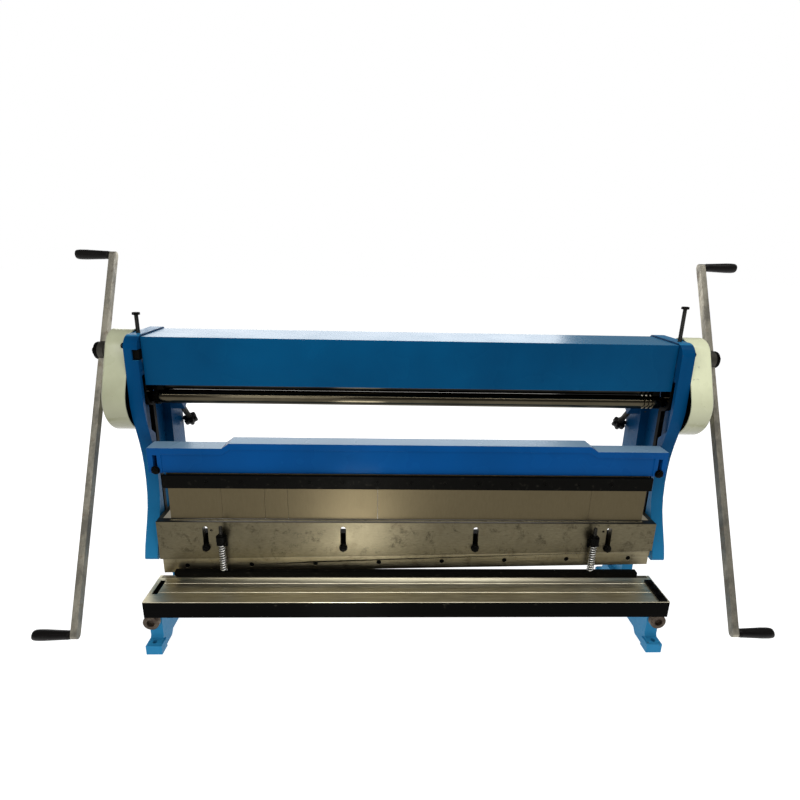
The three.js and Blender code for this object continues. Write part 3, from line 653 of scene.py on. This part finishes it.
def gearCover(word, way):
    values = coverValues
    middle, deep = (values["inner"] + values["outer"]) / 2, values["outer"] - values["inner"]
    bpy.ops.object.select_all(action="DESELECT")
    drums = []
    for radius, (y, z) in ((values["lowRadius"], values["lowAt"]), (values["highRadius"], values["highAt"])):
        bpy.ops.mesh.primitive_cylinder_add(vertices=96, radius=radius / 1000, depth=deep / 1000,
                                            location=at(way * middle, y, z), rotation=(0, math.pi / 2, 0))
        drums.append(bpy.context.object)
    for drum in drums:
        only(drum)
        bpy.ops.object.transform_apply(location=True, rotation=True, scale=True)
    cover = joined(f"{word}_gear_cover_shell", *drums)
    bpy.ops.object.mode_set(mode="EDIT")
    bpy.ops.mesh.select_all(action="SELECT")
    bpy.ops.mesh.convex_hull(join_triangles=False)
    bpy.ops.mesh.dissolve_limited(angle_limit=math.radians(0.5))
    bpy.ops.mesh.select_all(action="DESELECT")
    bpy.ops.object.mode_set(mode="OBJECT")
    outerX, innerX = way * values["outer"] / 1000, way * values["inner"] / 1000
    for edge in cover.data.edges:
        ends = [cover.data.vertices[index].co.x for index in edge.vertices]
        edge.select = all(abs(x - outerX) < 1e-4 for x in ends)
    bpy.ops.object.mode_set(mode="EDIT")
    bpy.ops.mesh.select_mode(type="EDGE")
    bpy.ops.mesh.bevel(offset=values["round"] / 1000, segments=8, affect="EDGES")
    bpy.ops.mesh.select_mode(type="FACE")
    bpy.ops.mesh.select_all(action="DESELECT")
    bpy.ops.object.mode_set(mode="OBJECT")
    for face in cover.data.polygons:
        face.select = abs(face.center.x - innerX) < 1e-4
    bpy.ops.object.mode_set(mode="EDIT")
    bpy.ops.mesh.delete(type="FACE")
    bpy.ops.mesh.select_all(action="SELECT")
    bpy.ops.mesh.normals_make_consistent(inside=False)
    bpy.ops.object.mode_set(mode="OBJECT")
    modified(cover, "SOLIDIFY", thickness=values["wall"] / 1000, offset=-1, use_even_offset=True)
    cutter = turned("cutter", [(0, values["shaftHole"]), (60, values["shaftHole"])],
                    at(way * 780, 111, 822.5), (way, 0, 0), 40)
    modified(cover, "BOOLEAN", operation="DIFFERENCE", object=cutter, solver="EXACT")
    bpy.data.objects.remove(cutter)
    smoothed(cover, 30)
    settle(cover, "frame", f"{word}Cream", [f"{word}_gear_cover"])
    radial = Vector((0, -0.95, 0.31)).normalized()
    seat = at(way * 752, 112, 829) + radial * 0.0535
    screw = joined(f"{word}_cover_screw", washer("a", 8.5, 1.2, seat, radial),
                   turned("b", [(1, 6), (3, 6), (4.2, 4.2), (4.6, 2)], seat, radial, 24))
    smoothed(screw)
    settle(screw, "frame", "dark")


for word, way in sides.items():
    gearCover(word, way)
print("gear covers made")


# cranks: grips and hub nuts
gripValues = {"profile": [
    (9.3, 8.5), (9.8, 10.2), (13, 10.4), (15, 11.2), (17, 11.0), (40, 12.0), (72, 13.4), (88, 13.4),
    (96, 12.6), (99.5, 11.2), (100.5, 8.2), (99.6, 6.4)]}


def buildCrankFittings(word, way):
    for end in ("upper", "lower"):
        node = f"{word}_{end}_grip"
        low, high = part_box(node)
        middle = (low + high) / 2
        base = Vector((way * 0.831, middle.y, middle.z))
        grip = turned(f"{node}_moulded", gripValues["profile"], base, (way, 0, 0), 40)
        smoothed(grip, 40)
        settle(grip, node, "plastic", [node])
        cap = turned(f"{node}_end_screw", [(96.5, 5.2), (101.2, 5.2), (102, 4.2), (102, 2.4), (100, 2.4)],
                     base, (way, 0, 0), 24)
        smoothed(cap)
        settle(cap, "crank", "bright")
    hub = at(way * 839, 111, 822.5)
    dome = turned("dome", [(0.3, 23), (1, 24), (6, 24), (9.5, 22.5), (11.5, 19), (12, 15)],
                  hub, (way, 0, 0), 48)
    nut = hexHead("nut", 13, 6.5, hub + Vector((way * 0.0115, 0, 0)), (way, 0, 0))
    tip = turned("tip", [(17, 5), (21.4, 5), (22, 4.2)], hub, (way, 0, 0), 24)
    hubNut = joined(f"{word}_hub_nut_turned", dome, nut, tip)
    smoothed(hubNut)
    settle(hubNut, "crank", "dark", [f"{word}_hub_nut"])


for word, way in sides.items():
    buildCrankFittings(word, way)
print("crank fittings made")


# top bolts and star knobs
topBoltValues = {"left": 923, "right": 963, "stem": 5, "head": 10}
knobValues = {"lobes": 6, "lobeRing": 15, "profile": [
    (-10, 4), (-9.2, 5.6), (-7.5, 6.5), (7.5, 6.5), (9.2, 5.6), (10, 4)]}


def buildTopBolt(word, way):
    node = f"{word}_top_bolt"
    foot, top = 799.3, topBoltValues[word]
    base = at(way * 723, 86, foot)
    length = top - foot
    thick = topBoltValues["stem"]
    stem = turned(f"{node}_stem", [(0, thick - 1), (1, thick), (length, thick)], base, (0, 0, 1), 28)
    smoothed(stem)
    settle(stem, node, "upThread", [node])
    seat = base + Vector((0, 0, length / 1000))
    head = hexHead(f"{node}_head", topBoltValues["head"], 6.8, seat, (0, 0, 1))
    smoothed(head)
    settle(head, node, "dark")


def buildStarKnob(word, way):
    node = f"{word}_star_knob"
    base = at(way * 684, 279, 576.5)
    stem = turned(f"{node}_screw", [(0, 8), (151.5, 8), (152.6, 7)], base, screwWay, 28)
    smoothed(stem)
    settle(stem, node, "leanThread", [node])
    side = Vector((1, 0, 0))
    other = screwWay.cross(side)
    parts = [turned("hub", [(-12, 12.5), (-10.5, 15), (10.5, 15), (12, 12.5)], base, screwWay, 36)]
    for lobe in range(knobValues["lobes"]):
        angle = lobe / knobValues["lobes"] * 2 * math.pi
        spot = base + (side * math.cos(angle) + other * math.sin(angle)) * knobValues["lobeRing"] / 1000
        parts.append(turned(f"lobe{lobe}", knobValues["profile"], spot, screwWay, 20))
    knob = joined(f"{node}_moulded", *parts)
    smoothed(knob, 40)
    settle(knob, node, "plastic")


for word, way in sides.items():
    buildTopBolt(word, way)
    buildStarKnob(word, way)
print("top bolts and star knobs made")


# fasteners on the beam, ram and table
fastenerValues = {"clampPitch": 92, "clampCount": 13, "clampZ": 490, "bladePitch": 179.5, "bladeZ": 246.5,
                  "rake": 0.0217, "guideX": (-566, -186, 186, 566), "guideZ": 292}
front = (0, -1, 0)


def buildFasteners():
    for word, way in sides.items():
        seat = at(way * 685, 9.7, 520)
        bolt = joined(f"{word}_beam_bolt", washer("w", 12, 1.6, seat, front),
                      hexHead("h", 10.2, 7.4, seat, front),
                      turned("t", [(7, 4.5), (9, 4.5), (9.5, 4)], seat, front, 20))
        smoothed(bolt)
        settle(bolt, "frame", "dark")
        low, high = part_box(f"{word}_table_bolt")
        seat = Vector(((low.x + high.x) / 2, high.y, (low.z + high.z) / 2))
        screw = joined(f"{word}_table_bolt_head", washer("w", 17, 6, seat, front),
                       turned("h", [(5.7, 20.5), (6.7, 22), (19.6, 22), (21.7, 20), (21.7, 11), (13, 11)],
                              seat, front, 48))
        smoothed(screw)
        settle(screw, "frame", "rust", [f"{word}_table_bolt"])
    first = socketHead("clamp_screw_1", 5.2, 1.6, 2.9, 2.4, at(-6 * fastenerValues["clampPitch"], 1.2,
                                                              fastenerValues["clampZ"]), front)
    smoothed(first)
    for count in range(1, fastenerValues["clampCount"]):
        twin = copied(first, f"clamp_screw_{count + 1}", (count * fastenerValues["clampPitch"], 0, 0))
        settle(twin, "frame", "dark")
    settle(first, "frame", "dark")
    steps = [count - 3.5 for count in range(8)]
    pitch, rake = fastenerValues["bladePitch"], fastenerValues["rake"]
    firstZ = fastenerValues["bladeZ"] + rake * steps[0] * pitch
    start = socketHead("blade_screw_1", 6.6, 3.9, 3.3, 3.2, at(steps[0] * pitch + 4, 5.1, firstZ), front)
    smoothed(start)
    for count in range(1, 8):
        twin = copied(start, f"blade_screw_{count + 1}", (count * pitch, 0, count * rake * pitch))
        settle(twin, "ram", "dark")
    settle(start, "ram", "dark")
    x0 = fastenerValues["guideX"][0]
    seat = at(x0, -0.4, fastenerValues["guideZ"])
    nut = joined("guide_nut_1", washer("w", 11.5, 1.6, seat, front), hexHead("h", 10.6, 8.2, seat, front),
                 turned("t", [(8, 5), (11, 5), (11.6, 4.4)], seat, front, 20))
    smoothed(nut)
    for count, x in enumerate(fastenerValues["guideX"][1:], 2):
        settle(copied(nut, f"guide_nut_{count}", (x - x0, 0, 0)), "frame", "dark")
    settle(nut, "frame", "dark")


def buildPocketStop():  # the black stop inside the window of the left frame
    stop = slab("pocket_stop", (-720.6, 37, 813.4), (-704.4, 75.6, 840.6))
    rounded(stop, 0.8)
    smoothed(stop)
    settle(stop, "frame", "dark")


buildFasteners()
buildPocketStop()
print("fasteners made")


# hold-down rods, knurled nuts and springs
holdValues = {"x": 517, "y": -18, "rodFoot": 217, "rodTop": 367, "nutFoot": 321.3, "springFoot": 229.3,
              "springTop": 313.4, "turns": 11, "wire": 1.35, "coil": 8.4, "ribs": 36, "nutProfile": [
                  (0, 12.4), (1.2, 13.5), (16.8, 13.5), (18, 12.4), (18, 9), (22, 8.6), (22, 5.4), (18, 5.4)]}


def knurledNut(name, base):
    nut = turned(name, holdValues["nutProfile"], base, (0, 0, 1), holdValues["ribs"] * 2)
    only(nut)
    bpy.ops.object.mode_set(mode="EDIT")
    bpy.ops.mesh.select_mode(type="FACE")
    bpy.ops.mesh.select_all(action="DESELECT")
    bpy.ops.object.mode_set(mode="OBJECT")
    step = math.pi / holdValues["ribs"]
    for face in nut.data.polygons:
        out = Vector((face.center.x - base.x, face.center.y - base.y))
        onRim = abs(face.normal.z) < 0.1 and out.length > 0.012
        face.select = onRim and int(math.atan2(out.y, out.x) / step + 4 * holdValues["ribs"]) % 2 == 0
    bpy.ops.object.mode_set(mode="EDIT")
    bpy.ops.mesh.extrude_faces_move(TRANSFORM_OT_shrink_fatten={"value": 0.0004})
    bpy.ops.object.mode_set(mode="OBJECT")
    return nut


def coilSpring(name, base):
    values = holdValues
    only(nodes["top_cover"])
    bpy.ops.object.select_all(action="DESELECT")
    wire, coil = values["wire"] / 1000, values["coil"] / 1000
    rise = (values["springTop"] - values["springFoot"] - 2 * values["wire"]) / 1000
    bpy.ops.mesh.primitive_circle_add(vertices=10, radius=wire, fill_type="NOTHING",
                                      location=(coil, 0, 0), rotation=(math.pi / 2, 0, 0))
    spring = bpy.context.object
    spring.name = name
    bpy.ops.object.transform_apply(location=True, rotation=True, scale=True)
    modified(spring, "SCREW", angle=2 * math.pi * values["turns"], screw_offset=rise, axis="Z",
             steps=22 * values["turns"], render_steps=22 * values["turns"], use_smooth_shade=True)
    bpy.ops.object.mode_set(mode="EDIT")
    bpy.ops.mesh.select_all(action="SELECT")
    bpy.ops.mesh.fill_holes(sides=12)
    bpy.ops.mesh.normals_make_consistent(inside=False)
    bpy.ops.object.mode_set(mode="OBJECT")
    spring.data.transform(Matrix.Translation(base + Vector((0, 0, wire))))
    return spring


def buildHoldDown(word, way):
    values = holdValues
    x, y = way * values["x"], values["y"]
    rod = turned(f"{word}_hold_down_rod_turned", [
        (0, 5), (values["rodTop"] - values["rodFoot"] - 1, 5), (values["rodTop"] - values["rodFoot"], 4)],
        at(x, y, values["rodFoot"]), (0, 0, 1), 24)
    smoothed(rod)
    settle(rod, "hold_down", "upThread", [f"{word}_hold_down_rod"])
    nut = knurledNut(f"{word}_rod_nut_knurled", at(x, y, values["nutFoot"]))
    smoothed(nut, 25)
    settle(nut, "hold_down", "dark", [f"{word}_rod_nut"])
    spring = coilSpring(f"{word}_spring_wound", at(x, y, values["springFoot"]))
    settle(spring, "hold_down", "spring", [f"{word}_spring"])
    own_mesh(spring)


for word, way in sides.items():
    buildHoldDown(word, way)
print("hold-down fittings made")
